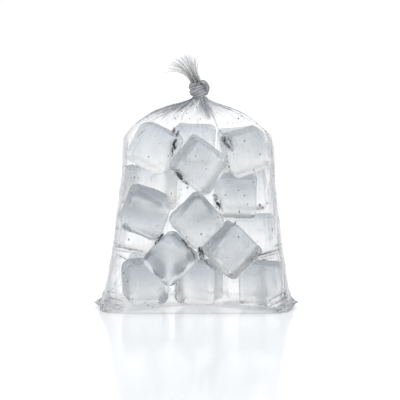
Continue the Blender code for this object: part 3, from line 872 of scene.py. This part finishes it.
NECK_BELOW, NECK_ABOVE = -2.0, 12.0         # from the knot's foot along its axis
NECK_RADIUS = 4.4
t = np.linspace(0, 1, 40)
core = KNOT_FOOT + knot_axis * (t * (NECK_ABOVE - NECK_BELOW) + NECK_BELOW)[:, None]
core_size = np.full(40, NECK_RADIUS)
strand_piece("neck_strand", sweep(core, knot_back, core_size, core_size, 11, 0.3), knot_film, 0.6)

# the loose fold's way: how far along it, and then the place in millimetres
FOLD_TABLE = np.array([(0.0, 3.0, -3.6, 190.4), (0.3, 6.6, -4.8, 190.2), (0.6, 9.6, -4.4, 186.6),
                       (0.85, 9.4, -3.4, 181.8), (1.0, 6.8, -2.2, 178.6)])
fold_path = smooth_rows(FOLD_TABLE, np.linspace(0, 1, 70))
fold_size = np.interp(np.linspace(0, 1, 70), [0, 0.2, 0.6, 1.0], [1.0, 1.5, 1.7, 0.9])
loose = sweep(fold_path, knot_back, fold_size, fold_size * 1.1, 5, 0.3, 48)
strand_piece("loose_fold", loose, knot_film, 0.4)

# %% [markdown]
# ## The loose end
#
# Past the knot the strand opens into a flat fan.  Its folds run from the knot to the
# rim and grow deeper on the way, because the same girth has more room there.

# %% The fan
TAIL_ROOT = KNOT_FOOT + knot_axis * 12.0
TAIL_LEANS = (math.radians(-74.0), math.radians(11.0))     # the fan's two sides, from the upright
TAIL_LENGTH = 28.5
TAIL_COLUMNS, TAIL_ROWS = 1400, 60
TAIL_FOLDS = ((17, 0.20), (29, 0.13), (47, 0.06))           # folds round the rim, and how far they overlap
tail_chance = np.random.default_rng(12)
angle = np.arange(TAIL_COLUMNS) * 2 * math.pi / TAIL_COLUMNS
out = np.linspace(0, 1, TAIL_ROWS)[:, None]
across = np.abs(angle / math.pi - 1) * 2 - 1
deep = 0.5 * np.sin(angle)
shorter = np.zeros(TAIL_COLUMNS)
for count, overlap in TAIL_FOLDS:
    phase = count * angle + 1.4 * np.sin(2 * angle + tail_chance.uniform(0, 6.28))
    across = across + overlap * np.sin(phase)
    deep = deep + 2.4 * overlap * np.cos(phase)
    shorter = shorter + overlap * np.sin(phase + tail_chance.uniform(0, 6.28))
middle, half = sum(TAIL_LEANS) / 2, (TAIL_LEANS[1] - TAIL_LEANS[0]) / 2
lean = KNOT_LEAN + (middle - KNOT_LEAN) * out ** 0.6 + half * across * (0.36 + 0.64 * out ** 1.3)
length = TAIL_LENGTH * (0.99 - 0.16 * np.clip(across, 0, 1)) - 6.0 * shorter + 1.5 * np.sin(5 * angle + 1.0)
root = 3.9 * (1 - out) ** 2 * across
tail = np.stack([TAIL_ROOT[0] + out * length * np.sin(lean) + root * knot_right[0],
                 (3.4 + 4.4 * out) * deep,
                 TAIL_ROOT[2] + out * length * np.cos(lean) + root * knot_right[2]], axis=-1)
layers = np.interp(out, [0, 0.25, 0.6, 1.0], [0.50, 0.30, 0.16, 0.02])
tail_gather = np.broadcast_to(layers, tail.shape[:2])
tail_pleat = np.stack(np.broadcast_arrays(np.abs(angle - math.pi) * 0.45, out * 0.05, 0.0), axis=-1)
tail_film = film_material("polyethylene film, fanned out", 0.05, 0.0, 0.20, "#cacac9", "#828281", 0.3)
ring_piece("fanned_end", tail, tail_film, {"gather": tail_gather, "pleat": tail_pleat}, False)

# %% [markdown]
# ## Drops
#
# Meltwater and dew cling to the inside of the film as small lenses.  One unit sphere is
# flattened, scaled and turned onto the film at each place, all in one mesh.  A drop
# bends light so much that it looks darker than what is behind it, and so small a one
# would hardly show, so its water gets a grey tint: painted shade for that darkening.

# %% Drops
DROPS_SEEN = np.array([     # across and up as the camera sees them, then radius, in millimetres
    (-34.0, 166.6, 0.68), (38.0, 159.5, 0.68), (39.8, 138.0, 0.68), (53.5, 127.0, 0.75),
    (47.6, 114.0, 0.75), (63.4, 128.0, 0.68), (65.0, 109.5, 0.68), (47.3, 104.0, 0.60),
    (63.2, 97.7, 0.68), (40.0, 92.8, 0.75), (53.0, 85.0, 1.20), (36.0, 79.4, 0.83),
    (35.3, 59.0, 0.68), (-53.4, 94.8, 0.75), (-51.0, 108.0, 0.68), (-56.0, 56.4, 0.75),
    (-52.7, 118.0, 0.68), (-57.0, 131.8, 0.68)])
DROP_COUNT = 300
DROP_RADII = (0.35, 0.85)
DROP_HEIGHT = 0.5           # as a share of its radius
DROP_LONGEST = 1.5
DROP_SUNK = 0.25            # how far its middle lies inside the film, as a share of its radius
drop_chance = np.random.default_rng(17)
lats, lons = np.meshgrid(np.linspace(0, math.pi, 9), np.arange(14) * 2 * math.pi / 14, indexing="ij")
ball = np.stack([np.sin(lats) * np.cos(lons), np.sin(lats) * np.sin(lons), -np.cos(lats)], axis=-1)
ball = ball.reshape(-1, 3)
ball_quads = grid_quads(9, 14, True)
normals = ring_normals(film)
places = []
for across, up, radius in DROPS_SEEN:
    away = np.linalg.norm(as_seen(film) - (across, up), axis=-1) + np.where(facing, 0, 1e3)
    places.append((*np.unravel_index(away.argmin(), away.shape), radius))
rows = drop_chance.integers(BASE_RINGS + 8, len(film) - 24, DROP_COUNT)
columns = drop_chance.integers(0, AROUND, DROP_COUNT)
radii = drop_chance.uniform(0, 1, DROP_COUNT) ** 2.5 * (DROP_RADII[1] - DROP_RADII[0]) + DROP_RADII[0]
places += list(zip(rows, columns, radii))
drops = []
for row, column, radius in places:
    outward = normals[row, column]
    aside = np.cross((0, 0, 1), outward)
    aside /= np.linalg.norm(aside)
    turn = np.stack([aside, np.cross(outward, aside), outward])
    shape = ball * (radius, radius * drop_chance.uniform(1.0, DROP_LONGEST), radius * DROP_HEIGHT)
    drops.append(film[row, column] - outward * DROP_SUNK * radius + shape @ turn)
drop_quads = np.concatenate([ball_quads + k * len(ball) for k in range(len(drops))])
water, tree, output = new_material("meltwater")
# the grey base colour is painted shade
surface = add_node(tree, "ShaderNodeBsdfPrincipled", **{
    "Base Color": linear("#b4b8bb"), "Roughness": 0.0, "IOR": 1.33, "Transmission Weight": 1.0})
tree.links.new(surface.outputs["BSDF"], output.inputs["Surface"])
make_piece("meltwater_drops", np.concatenate(drops) * MM, drop_quads, water)
print("drops:", len(drops))
